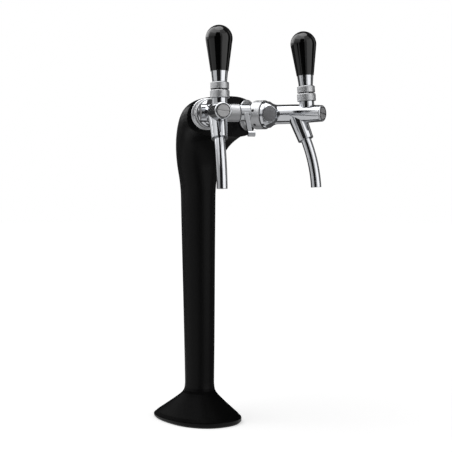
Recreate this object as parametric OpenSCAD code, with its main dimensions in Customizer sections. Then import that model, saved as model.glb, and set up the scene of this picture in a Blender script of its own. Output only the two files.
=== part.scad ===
// Draft beer dispenser: a cobra-shaped counter tower that carries two flow-control taps.
// Millimetres. +Z is up, the front is towards -Y, and the origin is on the counter under the foot's centre.
// "left" and "right" are -X and +X as seen from the front.

/* [Foot and column] */
// Width of the oval foot
foot_width = 115; // [108:1:130]
// Depth of the oval foot, front to back
foot_depth = 162; // [152:1:180]
// Height of the foot's upright rim above the counter, at the sides
rim_height = 7; // [6:0.5:10]
// How much higher the rim stands at the front than at the back
rim_rise = 4; // [0:0.5:5]
// Squareness of the foot's outline: 2 is an ellipse
foot_square = 2.3; // [2:0.1:2.6]
// Height at which the foot's flare has become the column
neck_height = 59; // [56:1:70]
// Width of the column just above the foot
neck_width = 44.6; // [43:0.1:52]
// Depth of the column just above the foot
neck_depth = 46.4; // [44:0.1:54]
// Width that the column tapers out to at the bend
top_width = 52; // [48:0.5:60]
// Depth that the column tapers out to at the bend
top_depth = 60.8; // [54:0.2:68]
// How far the column's axis stands in front of the foot's centre
column_forward = 7; // [0:0.5:12]
// How far the column leans back on its way up
back_lean = 3.5; // [0:0.5:8]
// Thickness of the rubber gasket under the foot
gasket_t = 1.5; // [1:0.1:3]
// Thickness of the steel base plate let into the foot
plate_t = 6; // [4:0.5:8]
// Hold-down hole spacing across the plate
bolt_x = 64; // [56:1:68]
// Hold-down hole spacing front to back
bolt_y = 84; // [76:1:92]
// Radius of the tapped hold-down holes
bolt_r = 3.4; // [2.5:0.1:4]
// Radius of the hole in the base plate for the beer lines
passage_r = 24; // [20:0.5:25]

/* [Hood] */
// Height at which the column starts to widen into the hood
flare_start = 349.5; // [338:0.5:358]
// Height at which the spine starts to bend forward
bend_start = 388; // [384:0.5:392]
// Radius of the bend of the spine
bend_radius = 75.4; // [73:0.2:78]
// Straight run of the hood in front of the bend
hood_reach = 14.4; // [13:0.2:17]
// Width of the hood at its front
hood_width = 123.5; // [120:0.5:130]
// Height of the hood at its front
hood_height = 65; // [63:0.5:70]
// How quickly the hood widens: larger is later
hood_swell = 1; // [0.9:0.05:1.2]
// Slope of the hood's two front faces away from the middle
hood_vee = 0.4; // [0.36:0.01:0.43]
// Squareness of the hood's front rings: 2 is an ellipse
hood_square = 2.7; // [2.5:0.05:3]
// Depth of the hood's lower half at the front, as a share of the upper half
hood_chin = 0.84; // [0.8:0.01:1]

/* [Tap positions] */
// Height of the tap axes above the counter
tap_height = 469; // [467:0.5:471]
// Sideways distance of each tap seat's centre from the middle
tap_side = 35; // [33:0.5:37]
// Distance of the tap seats in front of the column's axis
tap_forward = 74; // [72:0.5:76]
// Angle that each tap turns outward
tap_splay = 23.1; // [20:0.1:26]

/* [Tap body] */
// Radius of the wall flange
flange_r = 23.2; // [22.6:0.1:24]
// Radius of the coupling ring
ring_r = 21.5; // [21:0.1:22.4]
// Start of the coupling ring, from the tap seat
ring_start = 18.7; // [18:0.1:20]
// Length of the coupling ring
ring_len = 16.3; // [15:0.1:18]
// Radius of the threads that the coupling ring joins
thread_r = 17; // [16:0.1:18]
// Radius of the collar behind the bell of the tap body
collar_r = 19.7; // [18.5:0.1:20.4]
// Radius of the tap body behind the handle
body_r = 14.3; // [13.8:0.1:15]
// Radius of the tap body at its front end
nose_r = 11.9; // [11.6:0.1:13]
// Length of the tap body in front of the handle's axis
nose_len = 25.6; // [24:0.1:29]
// Radius of the bore that the valve piston runs in
valve_bore_r = 8.2; // [7.8:0.1:8.6]

/* [Flow regulator] */
// Distance of the regulator's cross axis from the tap seat
reg_at = 52; // [50:0.5:54]
// Radius of the cross boss
reg_boss_r = 13; // [12.6:0.1:14]
// Radius of the satin gland
gland_r = 12.7; // [12:0.1:14]
// Distance of the gland's outer end from the tap axis
gland_end = 37.9; // [34:0.1:42]
// Radius of the regulator lever's hub
hub_r = 12.5; // [11.5:0.1:13.5]
// Width of the regulator lever's hub
hub_w = 14.7; // [12:0.1:18]
// Radius of the regulator shaft
shaft_r = 5; // [4:0.1:5.5]
// Distance of the small knob below the hub's axis
knob_drop = 29.6; // [27:0.1:34]
// Radius of the small knob
knob_r = 4.1; // [3.6:0.1:4.6]
// Length of the small knob
knob_len = 10.2; // [8:0.1:14]
// Whole travel of the compensator over the lever's quarter turn
comp_travel = 3; // [2:0.1:3.4]
// Radius of the eccentric pin on the regulator shaft
pin_r = 1.8; // [1.4:0.1:2]

/* [Handle] */
// Distance of the handle's axis from the tap seat
handle_at = 105.4; // [103:0.1:107]
// Lean of the handle back towards the tower
handle_lean = 4; // [0:0.5:6]
// Height of the handle's pivot above the tap axis, along the lean
pivot_z = 22; // [21.5:0.1:22.5]
// Radius of the lever's ball
ball_r = 8.1; // [7.6:0.1:8.3]
// Radius of the boss under the handle
handle_boss_r = 10.7; // [10.4:0.1:11.4]
// Radius of the fixed bonnet ring
bonnet_r = 13.5; // [12.8:0.1:13.8]
// Radius of the skirt ring that turns with the handle
skirt_r = 12.9; // [12.4:0.1:14]
// Radius of the ferrule at its lower end
ferrule_r = 10.1; // [9:0.1:12]
// Radius of the grip at its lower end
grip_low_r = 12.5; // [11.9:0.1:14]
// Radius of the grip's round head
grip_r = 18.75; // [17:0.25:22]
// Height of the centre of the grip's round head above the tap axis
grip_z = 100.7; // [94:0.1:110]
// Distance of the lever's tip below the pivot
tip_drop = 16; // [15.5:0.1:16.5]
// Radius of the lever's tip
tip_r = 2.8; // [2.4:0.1:3]

/* [Spout] */
// Distance of the spout's boss behind the handle's axis, along the tap
spout_back = 19; // [17:0.1:21]
// Forward tilt of the spout's boss
spout_tilt = 24; // [22:0.5:26]
// Length of the spout's boss from the tap axis
spout_boss = 41; // [38:0.5:44]
// Outer radius of the spout tube
spout_r = 7.5; // [6.8:0.1:8]
// Inner radius of the spout tube
spout_in_r = 5.4; // [4.4:0.1:5.8]
// Radius of the spout tube's bend
spout_bend = 205; // [180:5:260]
// Angle that the spout tube bends back towards upright
spout_turn = 20; // [16:0.5:23]

/* [Beer lines] */
// Outer radius of the beer lines
line_r = 4.75; // [4:0.05:5]
// Inner radius of the beer lines
line_in_r = 3.3; // [2.8:0.1:3.5]
// Sideways distance of each beer line from the column's axis
line_x = 8.5; // [8.3:0.1:9.5]
// Radius of the bore through the column
column_bore_r = 15.5; // [15:0.1:16]
// Radius of the couplers on the ends of the beer lines
coupler_r = 8; // [7:0.1:8.1]

/* [Fits] */
// Radial gap of threads and of pieces that sit in each other
thread_gap = 0.05; // [0.02:0.01:0.1]
// Radial gap of turning and sliding fits
run_gap = 0.1; // [0.05:0.01:0.1]
// Gap between pieces that pass each other
free_gap = 0.3; // [0.3:0.05:0.5]

/* [Hidden] */
$fn = 64;

// Small overshoot of cuts
cut = 1;

// Foot
foot_points = 64;
flare_line = 0.72;
flare_soft = 0.157;
rim_round = 1.5;
gasket_inset = 2.5;
plate_inset = 8;
screw_inset_x = 11;
screw_inset_y = 20;
plate_screw_x = foot_width / 2 - plate_inset - screw_inset_x;
plate_screw_y = foot_depth / 2 - plate_inset - screw_inset_y;
screw_r = 2.5;
screw_head_r = 5;
screw_head_t = 3;
screw_grip = 9;
bolt_room = 5;
foot_hollow_r = 27;
foot_hollow_top = 36;

// Hood
bend_len = bend_radius * PI / 2;
spine_end = bend_start + bend_len + hood_reach;
front_round = 6;
vee_round = 12;
seat_cut = 1.5 * hood_width;
seat_wall = 9;
arm_bore_r = 16;
arm_bore_len = 33;
channel_r = 13;
channel_bend = tap_forward / cos(tap_splay) - arm_bore_len + cut;

// Shank, flange and coupling ring
shank_r = 9.5;
shank_bore_r = 4;
shank_tail = 36;
shank_head = 14;
shank_end = 26;
barb_r = line_in_r - thread_gap;
nut_t = 7;
nut_corner_r = 15;
washer_t = 1.5;
fgasket_t = 1;
ring_end = ring_start + ring_len;
ring_gap = 0.8;
spanner_r = 2.2;
spanner_holes = 6;

// Tap body
collar_len = 4.7;
collar_start = ring_end + ring_gap;
collar_end = collar_start + collar_len;
bell_over = 4;
bell_end = reg_at + bell_over;
chamber_r = 10;
chamber_over = 10;
chamber_end = reg_at + chamber_over;
body_len = handle_at + nose_len;
nose_round = 2.2;
nose_recess = 4;
plug_grip = 3;
plug_start = body_len - nose_recess - plug_grip;
plug_step = 0.8;
plug_thread_r = valve_bore_r + plug_step;
recess_step = 0.6;
nose_recess_r = plug_thread_r + recess_step;
plug_gap = 0.5;
plug_disc_r = nose_recess_r - plug_gap;

// Regulator
pin_off = comp_travel / 2;
comp_gap = 0.8;
comp_r = chamber_r - comp_gap;
comp_core_r = 5.5;
reg_bore_r = 8;
cap_rim = 1.7;
cap_r = reg_boss_r - cap_rim;
cap_side = 18.5;
cap_t = 2.2;
boss_side = 19;
hub_gap = 0.4;
hub_start = gland_end + hub_gap;
hub_end = hub_start + hub_w;
hub_web = 3.4;
lever_screw_r = 1.5;
lever_screw_len = 11;
lever_head_r = 3;
lever_head_t = 1.8;
lever_head_room = 2;
arm_slant = 12;
arm_w = 6;
arm_t = 5.4;
lever_swing = 90;

// Handle
boss_drop = 3.8;
handle_boss_top = pivot_z - boss_drop;
bonnet_seat = 0.1;
bonnet_low = handle_boss_top + bonnet_seat;
bonnet_rise = 7.3;
bonnet_top = pivot_z + bonnet_rise;
socket_wall = 1.3;
neck_thread_r = ball_r + run_gap + socket_wall;
neck_rise = 2.5;
stem_r = 3.8;
stud_len = 16;
tail_r = 2.3;
pull_max = 25;
push_max = 12;
pull_travel = tip_drop * pull_max * PI / 180;
push_travel = tip_drop * push_max * PI / 180;
skirt_gap = 1.4;
skirt_len = 9.2;
skirt_low = bonnet_top + skirt_gap;
skirt_top = skirt_low + skirt_len;
skirt_hollow_r = 15.4;
ferrule_len = 15.5;
ferrule_top = skirt_top + ferrule_len;

// Piston
piston_r = valve_bore_r - free_gap;
piston_tail = 23.9;
piston_back = handle_at - piston_tail;
piston_clear = 1.15;
piston_front = plug_start - push_travel - piston_clear;
neck_clear = 1.5;
neck_end = piston_back - pull_travel - neck_clear;
seal_inset = 2.7;
seal_step = 11.4;
front_seal_inset = 4.5;
seal_at = [piston_back + seal_inset, piston_back + seal_inset + seal_step, piston_front - front_seal_inset];
seal_wire = 1;
seal_r = valve_bore_r - run_gap / 2 - seal_wire;
groove_gap = 0.1;
waist_back = 7.9;
waist_len = 3.5;
waist_r = 5.2;
waist_from = handle_at - waist_back;
waist_to = waist_from + waist_len;

// Spout and beer lines
spout_at = handle_at - spout_back;
port_r = 4;
spout_socket = 16;
boss_wall = 4;
boss_taper = 2;
coupler_gap = 1.5;
coupler_low = gasket_t + plate_t + coupler_gap;
coupler_len = 27;
coupler_depth = 12;

// Shape helpers
function clamp01(t) = min(max(t, 0), 1);
function smooth01(t) = let (c = clamp01(t)) c * c * (3 - 2 * c);
function mix(a, b, t) = a + (b - a) * t;
function signed_power(v, p) = sign(v) * pow(abs(v), p);

// Foot: the flare falls as a straight slope with a soft foot, from 1 at the rim to 0 at the neck
function soft_slope(u) = let (d = 1 - u / flare_line) (d + norm([d, flare_soft])) / 2;
function flare(u) = (soft_slope(u) - soft_slope(1)) / (soft_slope(0) - soft_slope(1));
function oval(a, b, square) = [
  for (i = [0:foot_points - 1]) let (t = 360 * i / foot_points)
    [a * signed_power(cos(t), 2 / square), b * signed_power(sin(t), 2 / square)]
];
// One level ring of the foot. The rings of the flare rise to the front by a share of the rim's rise
function foot_ring(z, inset, rise = 0) =
  let (w = flare(clamp01((z - rim_height) / (neck_height - rim_height))))
  [for (p = oval(mix(neck_width, foot_width, w) / 2 - inset, mix(neck_depth, foot_depth, w) / 2 - inset,
      mix(2, foot_square, w)))
    [p[0], p[1] - column_forward * (1 - w), z - rise * w * p[1] / foot_depth]];

// Spine of the column and hood: [forward of the column axis, height, angle of the tangent from upright]
function spine(s) =
  s <= bend_start
  ? [-back_lean * smooth01((s - neck_height) / (bend_start - neck_height)), s, 0]
  : s <= bend_start + bend_len
  ? let (p = (s - bend_start) / bend_radius * 180 / PI)
    [-back_lean + bend_radius * (1 - cos(p)), bend_start + bend_radius * sin(p), p]
  : [-back_lean + bend_radius + s - bend_start - bend_len, bend_start + bend_radius, 90];

// One ring of the column and hood, square to the spine. The front rings are bent back to a vee and
// their lower half is shallower
function tower_ring(s, inset, push) =
  let (p = spine(s),
    k = clamp01((s - neck_height) / (bend_start - neck_height)),
    t = clamp01((s - flare_start) / (spine_end - flare_start)),
    w = pow(smooth01(t), hood_swell),
    a = mix(mix(neck_width, top_width, k), hood_width, w) / 2 - inset,
    b = mix(mix(neck_depth, top_depth, k), hood_height, w) / 2 - inset,
    chin = mix(1, hood_chin, smooth01(t)),
    e = 2 / mix(2, hood_square, t),
    vee = hood_vee * smooth01((t - 0.5) / 0.5))
  [for (i = [0:foot_points - 1])
    let (q = 360 * i / foot_points,
      x = a * signed_power(cos(q), e),
      n = b * (q > 180 ? chin : 1) * signed_power(sin(q), e),
      f = push - vee * (norm([x, vee_round]) - vee_round))
    [x,
      -column_forward - (p[0] - n * cos(p[2]) + f * sin(p[2])),
      p[1] + n * sin(p[2]) + f * cos(p[2])]
  ];

// Closed skin over a stack of rings. The last ring may be bent, so its end is closed in strips
module skin(rings) {
  m = len(rings[0]);
  last = len(rings) - 1;
  h = m / 2;
  polyhedron(
    points = [for (r = rings) each r],
    faces = concat(
      [[for (i = [0:m - 1]) i]],
      [for (j = [0:last - 1], i = [0:m - 1]) let (k = (i + 1) % m)
        each [[j * m + i, (j + 1) * m + i, j * m + k], [j * m + k, (j + 1) * m + i, (j + 1) * m + k]]],
      [for (i = [0:h - 2]) [for (k = [i, m - i - 1, i + 1]) last * m + k]],
      [for (i = [1:h - 1]) [for (k = [i, m - i, m - i - 1]) last * m + k]]
    )
  );
}

module foot_shape(inset) {
  polygon(oval(foot_width / 2 - inset, foot_depth / 2 - inset, foot_square));
}

module at_bolts() {
  for (x = [-1, 1], y = [-1, 1])
    translate([x * bolt_x / 2, y * bolt_y / 2, 0])
      children();
}

module at_plate_screws() {
  for (s = [-1, 1]) {
    translate([s * plate_screw_x, 0, 0])
      children();
    translate([0, s * plate_screw_y, 0])
      children();
  }
}

// Tap frames: +X out of the seat along the tap, +Z up, side is -1 for left and 1 for right
module at_tap(side) {
  translate([side * tap_side, -column_forward - tap_forward, tap_height])
    rotate([0, 0, side * tap_splay - 90])
      children();
}

// Frame of the handle: +Z along the leaning handle, origin on the tap axis
module at_handle() {
  translate([handle_at, 0, 0])
    rotate([0, -handle_lean, 0])
      children();
}

// Frame of the spout: -Z along the spout's boss, origin on the tap axis
module at_spout() {
  translate([spout_at, 0, 0])
    rotate([0, -spout_tilt, 0])
      children();
}

// Frame of the regulator: +Z out along the cross axis, turned with the lever
module at_regulator(turn) {
  translate([reg_at, 0, 0])
    rotate([0, turn, 0])
      rotate([-90, 0, 0])
        children();
}

// Solid along the tap axis
module along_x(r, from, to) {
  translate([from, 0, 0])
    rotate([0, 90, 0])
      cylinder(r = r, h = to - from);
}

// Turned shape along the tap axis from a list of [distance, radius]
module turned_x(profile) {
  rotate([0, 90, 0])
    rotate_extrude()
      polygon([for (p = profile) [p[1], p[0]]]);
}

// Solid along Z between two heights
module along_z(r, from, to) {
  translate([0, 0, from])
    cylinder(r = r, h = to - from);
}

module cone_z(r1, r2, from, to) {
  translate([0, 0, from])
    cylinder(r1 = r1, r2 = r2, h = to - from);
}

// Turned shape along Z from a list of [radius, height]
module turned_z(profile) {
  rotate_extrude()
    polygon(profile);
}

// Turn of the regulator lever at rest: the left one hangs, the right one points forward
function rest_turn(side) = side < 0 ? 0 : -lever_swing;
// Rest place of the compensator that goes with the lever's turn
function comp_rest(side) = side < 0 ? -pin_off : pin_off;

// Rubber gasket between the foot and the counter
module base_gasket() {
  color([0.05, 0.05, 0.05])
    difference() {
      linear_extrude(gasket_t)
        foot_shape(gasket_inset);
      along_z(passage_r + 2, -cut, gasket_t + cut);
      at_bolts()
        along_z(bolt_r + 1.5, -cut, gasket_t + cut);
      at_plate_screws()
        along_z(screw_head_r + 1, -cut, gasket_t + cut);
    }
}

// Steel plate let into the foot, tapped for the hold-down bolts
module base_plate() {
  color([0.55, 0.56, 0.58])
    translate([0, 0, gasket_t])
      difference() {
        linear_extrude(plate_t)
          foot_shape(plate_inset);
        along_z(passage_r, -cut, plate_t + cut);
        at_bolts()
          along_z(bolt_r, -cut, plate_t + cut);
        at_plate_screws() {
          along_z(screw_r + run_gap, -cut, plate_t + cut);
          along_z(screw_head_r + run_gap, -cut, screw_head_t);
        }
      }
}

// Four cap screws that hold the plate in the foot
module plate_screws() {
  color([0.6, 0.6, 0.62])
    translate([0, 0, gasket_t])
      at_plate_screws()
        difference() {
          union() {
            along_z(screw_head_r, 0.3, screw_head_t);
            along_z(screw_r, screw_head_t, plate_t + screw_grip);
          }
          cylinder(r = 2.3, h = 4, center = true, $fn = 6);
        }
}

// Casting of foot, column and hood
module tower_skin() {
  flare_steps = 13;
  column_steps = 7;
  hood_steps = 24;
  skin(concat(
    [foot_ring(gasket_t, 1), foot_ring(gasket_t + 1, 0)],
    [for (q = [0, 45]) foot_ring(rim_height - rim_round * (1 - sin(q)), rim_round * (1 - cos(q)), rim_rise)],
    [for (i = [0:flare_steps])
      foot_ring(mix(rim_height, neck_height, i / flare_steps), i == 0 ? rim_round : 0, rim_rise)],
    [for (i = [1:column_steps]) tower_ring(mix(neck_height, flare_start, i / column_steps), 0, 0)],
    [for (i = [1:hood_steps]) tower_ring(mix(flare_start, spine_end, i / hood_steps), 0, 0)],
    [for (i = [1:4]) let (q = 90 * i / 4)
      tower_ring(spine_end, front_round * (1 - cos(q)), front_round * sin(q))]
  ));
}

module tower_body() {
  color([0.03, 0.03, 0.035])
    difference() {
      tower_skin();
      // Pocket of the base plate, hollow of the foot and bore of the column
      translate([0, 0, gasket_t - cut])
        linear_extrude(plate_t + cut + thread_gap)
          foot_shape(plate_inset - 0.2);
      translate([0, -column_forward, 0]) {
        along_z(foot_hollow_r, 0, foot_hollow_top);
        along_z(column_bore_r, 0, tap_height - channel_bend + cut);
      }
      for (side = [-1, 1])
        at_tap(side) {
          // Flat seat of the flange
          translate([0, -seat_cut / 2, -seat_cut / 2])
            cube(seat_cut);
          along_x(arm_bore_r, -arm_bore_len, -seat_wall);
          along_x(shank_r + thread_gap, -seat_wall - cut, cut);
          // Bent channel from the column's bore into the arm
          translate([cut - arm_bore_len, 0, -channel_bend])
            rotate([90, 0, 0])
              rotate([0, 0, 90])
                rotate_extrude(angle = 90)
                  translate([channel_bend, 0])
                    circle(r = channel_r);
        }
      // Clearance over the hold-down bolts and threads of the plate's screws
      at_bolts()
        along_z(bolt_r + 1, gasket_t, gasket_t + plate_t + bolt_room);
      at_plate_screws()
        along_z(screw_r + thread_gap, gasket_t, gasket_t + plate_t + screw_grip + cut);
    }
}

module flange_gasket(side) {
  color([0.05, 0.05, 0.05])
    at_tap(side)
      difference() {
        along_x(flange_r - 1, 0, fgasket_t);
        along_x(shank_r + run_gap, -cut, fgasket_t + cut);
      }
}

module flange_gasket_left() flange_gasket(-1);
module flange_gasket_right() flange_gasket(1);

// Polished wall flange, clamped by the head of the shank
module tap_flange(side) {
  round_r = 1.4;
  color([0.85, 0.86, 0.88])
    at_tap(side)
      rotate([0, 90, 0])
        rotate_extrude()
          difference() {
            union() {
              polygon([
                [0, fgasket_t], [flange_r, fgasket_t], [flange_r, 4 - round_r], [flange_r - round_r, 4],
                [flange_r - 5, 5.6], [flange_r - 8, 8.2], [flange_r - 9.4, 11], [flange_r - 9.8, shank_head],
                [0, shank_head]
              ]);
              translate([flange_r - round_r, 4 - round_r])
                circle(r = round_r);
            }
            translate([-1, 0])
              square([1 + shank_r + run_gap, shank_head + cut]);
          }
}

module tap_flange_left() tap_flange(-1);
module tap_flange_right() tap_flange(1);

// Threaded tube through the hood's wall: barb inside, large threaded head outside
module shank(side) {
  color([0.85, 0.86, 0.88])
    at_tap(side)
      difference() {
        turned_x([
          [-shank_tail, 0], [-shank_tail, barb_r], [-19, barb_r], [-19, shank_r], [shank_head, shank_r],
          [shank_head, thread_r], [shank_end, thread_r], [shank_end, 0]
        ]);
        along_x(barb_r - 0.9, -shank_tail - cut, 0);
        along_x(shank_bore_r, -10, shank_end + cut);
      }
}

module shank_left() shank(-1);
module shank_right() shank(1);

// Hexagon lock nut inside the hood
module shank_nut(side) {
  color([0.72, 0.62, 0.36])
    at_tap(side)
      difference() {
        translate([-seat_wall - nut_t, 0, 0])
          rotate([0, 90, 0])
            cylinder(r = nut_corner_r, h = nut_t, $fn = 6);
        along_x(shank_r + thread_gap, -seat_wall - nut_t - cut, -seat_wall + cut);
      }
}

module shank_nut_left() shank_nut(-1);
module shank_nut_right() shank_nut(1);

// Sealing washer between the shank's head and the tap
module tail_washer(side) {
  color([0.08, 0.08, 0.08])
    at_tap(side)
      difference() {
        along_x(thread_r - 1.5, shank_end, shank_end + washer_t);
        along_x(shank_bore_r + 1, shank_end - cut, shank_end + washer_t + cut);
      }
}

module tail_washer_left() tail_washer(-1);
module tail_washer_right() tail_washer(1);

// Satin coupling ring with spanner holes, threaded over the shank's head and the tap's tail
module coupling_ring(side) {
  edge = 0.8;
  color([0.7, 0.71, 0.73])
    at_tap(side)
      difference() {
        turned_x([
          [ring_start, 0], [ring_start, ring_r - edge], [ring_start + edge, ring_r],
          [ring_end - edge, ring_r], [ring_end, ring_r - edge], [ring_end, 0]
        ]);
        along_x(thread_r + thread_gap, ring_start - cut, ring_end + cut);
        translate([(ring_start + ring_end) / 2 - 2, 0, 0])
          for (i = [0:spanner_holes - 1])
            rotate([360 * i / spanner_holes + 15, 0, 0])
              along_z(spanner_r, ring_r - 2.9, ring_r + cut);
      }
}

module coupling_ring_left() coupling_ring(-1);
module coupling_ring_right() coupling_ring(1);

// Outside of the tap body of revolution: tail, collar, concave bell, barrel and nose
function bell_radius(t) = body_r + (collar_r - body_r) * pow(1 - t, 1.9);
module tap_barrel() {
  turned_x(concat(
    [[shank_end + washer_t, 0], [shank_end + washer_t, thread_r], [collar_start, thread_r],
      [collar_start, collar_r - 0.4], [collar_start + 0.4, collar_r]],
    [for (i = [0:8]) [mix(collar_end, bell_end, i / 8), bell_radius(i / 8)]],
    [[spout_at, body_r - 0.2]],
    [for (i = [0:5]) let (q = 90 * i / 5)
      [body_len - nose_round * (1 - sin(q)), nose_r - nose_round * (1 - cos(q))]],
    [[body_len, 0]]
  ));
}

// Chrome tap body with its cross boss, handle boss and spout boss
module tap_body(side) {
  color([0.85, 0.86, 0.88])
    at_tap(side)
      difference() {
        union() {
          tap_barrel();
          at_regulator(0)
            along_z(reg_boss_r, -cap_side, boss_side);
          at_handle() {
            along_z(handle_boss_r, 0, handle_boss_top);
            along_z(neck_thread_r, handle_boss_top, pivot_z + neck_rise);
          }
          at_spout()
            cone_z(spout_r + boss_wall, spout_r + boss_wall + boss_taper, -spout_boss, 0);
        }
        // Chamber of the compensator, neck, bore of the piston and threads of the plug
        along_x(shank_bore_r + 2, shank_end, chamber_end);
        along_x(chamber_r, shank_end + washer_t + 3, chamber_end);
        along_x(valve_bore_r - 2, chamber_end - cut, neck_end);
        along_x(valve_bore_r, neck_end, plug_start + cut);
        along_x(plug_thread_r + thread_gap, plug_start, body_len + cut);
        along_x(nose_recess_r, body_len - nose_recess, body_len + cut);
        // Cross bore of the regulator and recess of its cap
        at_regulator(0) {
          along_z(reg_bore_r + thread_gap, 0, boss_side + cut);
          along_z(reg_bore_r + thread_gap, -cap_side - cut, 0);
          along_z(cap_r + run_gap, -cap_side - cut, -cap_side + cap_t);
        }
        // Ball socket and the slot that the lever's tail swings in
        at_handle() {
          translate([0, 0, pivot_z])
            sphere(r = ball_r + run_gap);
          along_z(ball_r + run_gap, pivot_z, pivot_z + 5);
          intersection() {
            cone_z((pivot_z - 3) * tan(pull_max + 4) + tail_r + 1, tail_r + 1, 3, pivot_z);
            translate([-20, -tip_r - 1, 3])
              cube([40, 2 * tip_r + 2, pivot_z]);
          }
        }
        // Port of the spout and socket of its tube
        at_spout() {
          along_z(port_r, -spout_boss, 0);
          along_z(spout_r + thread_gap, -spout_boss - cut, -spout_boss + spout_socket);
        }
      }
}

module tap_body_left() tap_body(-1);
module tap_body_right() tap_body(1);

// Tapered flow compensator with a flat slot that the eccentric pin moves
module compensator(side) {
  slot = 2 * pin_r + 2 * free_gap;
  color([0.86, 0.86, 0.82])
    at_tap(side)
      translate([reg_at + comp_rest(side), 0, 0])
        difference() {
          turned_x([
            [-18, 0], [-18, comp_r - 0.6], [-17.4, comp_r], [-13, comp_r], [-5, comp_core_r],
            [5.5, comp_core_r], [8, 3.4], [12, 2.6], [12, 0]
          ]);
          translate([-slot / 2, 1.2, -comp_r])
            cube([slot, comp_r, 2 * comp_r]);
          // Flutes that the beer runs through
          for (i = [0:3])
            rotate([90 * i + 45, 0, 0])
              translate([0, 0, comp_r + 0.5])
                along_x(2.2, -18 - cut, -5);
        }
}

module compensator_left() compensator(-1);
module compensator_right() compensator(1);

// Cross shaft with the eccentric pin at its inner end
module regulator_shaft(side) {
  color([0.72, 0.62, 0.36])
    at_tap(side)
      at_regulator(rest_turn(side)) {
        difference() {
          union() {
            along_z(shaft_r, 7, hub_end - hub_web);
            along_z(shaft_r + 1.8, 9, 12.4);
          }
          along_z(lever_screw_r + thread_gap, hub_end - lever_screw_len - cut, hub_end);
        }
        translate([-pin_off, pin_off, 0])
          along_z(pin_r, 2, 7);
      }
}

module regulator_shaft_left() regulator_shaft(-1);
module regulator_shaft_right() regulator_shaft(1);

// Satin gland that holds the cross shaft in the boss
module regulator_gland(side) {
  edge = 0.7;
  color([0.7, 0.71, 0.73])
    at_tap(side)
      at_regulator(0)
        difference() {
          turned_z([
            [0, 12.8], [reg_bore_r, 12.8], [reg_bore_r, boss_side], [gland_r, boss_side],
            [gland_r, gland_end - edge], [gland_r - edge, gland_end], [0, gland_end]
          ]);
          along_z(shaft_r + run_gap, 0, gland_end + cut);
        }
}

module regulator_gland_left() regulator_gland(-1);
module regulator_gland_right() regulator_gland(1);

// Polished regulator lever: hub, slanting arm and small knob
module regulator_lever(side) {
  edge = 1;
  knob_out = (hub_start + hub_end) / 2 + knob_drop * tan(arm_slant) + 1.8;
  color([0.85, 0.86, 0.88])
    at_tap(side)
      at_regulator(rest_turn(side))
        difference() {
          union() {
            turned_z([
              [0, hub_start], [hub_r - edge, hub_start], [hub_r, hub_start + edge],
              [hub_r, hub_end - edge], [hub_r - edge, hub_end], [0, hub_end]
            ]);
            // The arm runs down the front of the hub and slants outward
            translate([hub_r + 0.4 - arm_t, 0, (hub_start + hub_end) / 2])
              rotate([arm_slant, 0, 0])
                translate([0, 0, -arm_w / 2])
                  cube([arm_t, knob_drop / cos(arm_slant), arm_w]);
            translate([hub_r - 2.3, knob_drop, 0])
              along_z(knob_r, knob_out - knob_len / 2, knob_out + knob_len / 2);
          }
          along_z(shaft_r + thread_gap, hub_start - cut, hub_end - hub_web);
          along_z(lever_screw_r + thread_gap, hub_end - hub_web - cut, hub_end);
          along_z(lever_head_r + 2 * run_gap, hub_end - lever_head_room, hub_end + cut);
        }
}

module regulator_lever_left() regulator_lever(-1);
module regulator_lever_right() regulator_lever(1);

// Screw that holds the lever on the cross shaft
module regulator_screw(side) {
  color([0.6, 0.6, 0.62])
    at_tap(side)
      at_regulator(rest_turn(side))
        difference() {
          union() {
            along_z(lever_screw_r, hub_end - lever_screw_len, hub_end - lever_head_room);
            along_z(lever_head_r, hub_end - lever_head_room, hub_end - lever_head_room + lever_head_t);
          }
          translate([-4, -0.4, hub_end - 1])
            cube([8, 0.8, 2]);
        }
}

module regulator_screw_left() regulator_screw(-1);
module regulator_screw_right() regulator_screw(1);

// Satin cap that closes the cross boss on the other side
module regulator_cap(side) {
  color([0.45, 0.46, 0.48])
    at_tap(side)
      at_regulator(0)
        turned_z([
          [0, -cap_side + 0.5], [cap_r - 0.5, -cap_side + 0.5], [cap_r, -cap_side + 1],
          [cap_r, -cap_side + cap_t], [reg_bore_r, -cap_side + cap_t], [reg_bore_r, -12], [0, -12]
        ]);
}

module regulator_cap_left() regulator_cap(-1);
module regulator_cap_right() regulator_cap(1);

// Valve piston with waist, cross holes, seal grooves and the slot for the lever's tip
module valve_piston(side) {
  tip_x = handle_at - (pivot_z - tip_drop) * sin(handle_lean);
  slot = 2 * tip_r + 1;
  color([0.86, 0.86, 0.82])
    at_tap(side)
      difference() {
        along_x(piston_r, piston_back, piston_front);
        for (x = seal_at)
          difference() {
            along_x(piston_r + cut, x - seal_wire - groove_gap, x + seal_wire + groove_gap);
            along_x(seal_r - seal_wire, x - 2, x + 2);
          }
        difference() {
          along_x(piston_r + cut, waist_from, waist_to);
          along_x(waist_r, waist_from - cut, waist_to + cut);
        }
        along_x(3, piston_back - cut, (waist_from + waist_to) / 2);
        translate([(waist_from + waist_to) / 2, 0, 0])
          rotate([90, 0, 0])
            cylinder(r = 1.6, h = 3 * piston_r, center = true);
        translate([tip_x - slot / 2, -piston_r - cut, 1.6])
          cube([slot, 2 * piston_r + 2 * cut, piston_r]);
      }
}

module valve_piston_left() valve_piston(-1);
module valve_piston_right() valve_piston(1);

// Three sealing rings on the piston
module piston_seals(side) {
  color([0.05, 0.05, 0.05])
    at_tap(side)
      for (x = seal_at)
        translate([x, 0, 0])
          rotate([0, 90, 0])
            rotate_extrude()
              translate([seal_r, 0])
                circle(r = seal_wire);
}

module piston_seals_left() piston_seals(-1);
module piston_seals_right() piston_seals(1);

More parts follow.
